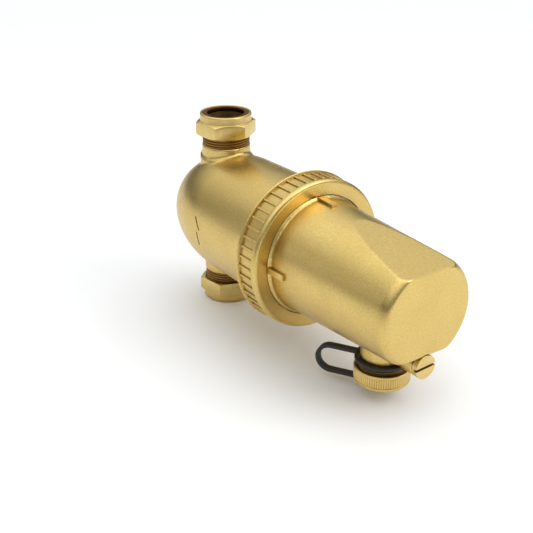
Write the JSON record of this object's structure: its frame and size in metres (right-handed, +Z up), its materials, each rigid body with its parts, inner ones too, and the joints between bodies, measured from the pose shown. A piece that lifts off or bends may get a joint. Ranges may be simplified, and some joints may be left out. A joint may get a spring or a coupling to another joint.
{
  "type": "magnetic system filter",
  "caption": "In-line brass heating filter: domed body with compression ports, ribbed union ring, removable magnet canister, slotted drain screw and a capped drain on a strap.",
  "frame": {"origin": "the point where the vertical pipe line crosses the filter's own horizontal axis", "axes": "+Z up along the pipe line, -Y from the pipe line towards the canister's front, +X to the right as seen from the canister's front"},
  "size_m": [0.0876, 0.2123, 0.119],
  "materials": {
    "cast_brass": "bead-blasted casting",
    "machined_brass": "turned, satin",
    "stainless_steel": "satin",
    "nickel_magnet": "nickel plate",
    "black_rubber": "matte",
    "diverter_polymer": "moulded"
  },
  "bodies": {
    "housing": {"rear_body": "cast_brass", "flow_diverter": "diverter_polymer"},
    "inlet_clamp": {"inlet_olive": "machined_brass"},
    "inlet_nut": {"inlet_nut": "machined_brass"},
    "outlet_clamp": {"outlet_olive": "machined_brass"},
    "outlet_nut": {"outlet_nut": "machined_brass"},
    "flange_seal": {"flange_gasket": "black_rubber"},
    "ring_carrier": {"retaining_ring": "stainless_steel"},
    "union_ring": {"union_ring": "cast_brass"},
    "canister": {"canister": "cast_brass", "canister_o_ring": "black_rubber", "strainer_basket": "stainless_steel", "magnet_sheath": "stainless_steel", "sheath_plug": "machined_brass", "magnet_1": "nickel_magnet", "magnet_2": "nickel_magnet", "magnet_3": "nickel_magnet", "magnet_4": "nickel_magnet", "pole_piece_1": "stainless_steel", "pole_piece_2": "stainless_steel", "pole_piece_3": "stainless_steel", "pole_piece_4": "stainless_steel", "pole_piece_5": "stainless_steel", "cap_tether": "black_rubber"},
    "spindle_carrier": {"spindle_o_ring": "black_rubber"},
    "drain_spindle": {"drain_spindle": "machined_brass"},
    "cap_carrier": {"cap_washer": "black_rubber", "tether_end": "black_rubber"},
    "drain_cap": {"drain_cap": "machined_brass", "cap_button": "machined_brass"}
  },
  "joints": [
    {"name": "inlet_nut_travel", "type": "slide", "parent": "housing", "child": "inlet_clamp", "axis": [0, 0, 1], "range_m": [0, 0.0053]},
    {"name": "inlet_nut_turn", "type": "hinge", "parent": "inlet_clamp", "child": "inlet_nut", "pos_m": [0, 0, 0.053], "axis": [0, 0, 1], "range_deg": [0, 1260]},
    {"name": "outlet_nut_travel", "type": "slide", "parent": "housing", "child": "outlet_clamp", "axis": [0, 0, -1], "range_m": [0, 0.0053]},
    {"name": "outlet_nut_turn", "type": "hinge", "parent": "outlet_clamp", "child": "outlet_nut", "pos_m": [0, 0, -0.053], "axis": [0, 0, -1], "range_deg": [0, 1260]},
    {"name": "canister_withdraw", "type": "slide", "parent": "housing", "child": "flange_seal", "axis": [0, -1, 0], "range_m": [0, 0.06]},
    {"name": "union_ring_travel", "type": "slide", "parent": "flange_seal", "child": "ring_carrier", "axis": [0, -1, 0], "range_m": [0, 0.00884]},
    {"name": "union_ring_turn", "type": "hinge", "parent": "ring_carrier", "child": "union_ring", "pos_m": [0, -0.083, 0], "axis": [0, -1, 0], "range_deg": [0, 1260]},
    {"name": "canister_swivel", "type": "hinge", "parent": "ring_carrier", "child": "canister", "pos_m": [0, -0.13, 0], "axis": [0, -1, 0], "continuous": true},
    {"name": "drain_spindle_travel", "type": "slide", "parent": "canister", "child": "spindle_carrier", "axis": [0, -1, 0], "range_m": [0, 0.00252]},
    {"name": "drain_spindle_turn", "type": "hinge", "parent": "spindle_carrier", "child": "drain_spindle", "pos_m": [0, -0.165, -0.02865], "axis": [0, -1, 0], "range_deg": [0, 900]},
    {"name": "drain_cap_travel", "type": "slide", "parent": "canister", "child": "cap_carrier", "axis": [0, 0, -1], "range_m": [0, 0.00758]},
    {"name": "drain_cap_turn", "type": "hinge", "parent": "cap_carrier", "child": "drain_cap", "pos_m": [0, -0.1468, -0.046], "axis": [0, 0, -1], "range_deg": [0, 1800]}
  ],
  "couplings": [
    {"joint": "inlet_nut_travel", "follows": "inlet_nut_turn", "m_per_rad": 0.00023873},
    {"joint": "outlet_nut_travel", "follows": "outlet_nut_turn", "m_per_rad": 0.00023873},
    {"joint": "union_ring_travel", "follows": "union_ring_turn", "m_per_rad": 0.00039789},
    {"joint": "drain_spindle_travel", "follows": "drain_spindle_turn", "m_per_rad": 0.00015915},
    {"joint": "drain_cap_travel", "follows": "drain_cap_turn", "m_per_rad": 0.00023873}
  ]
}
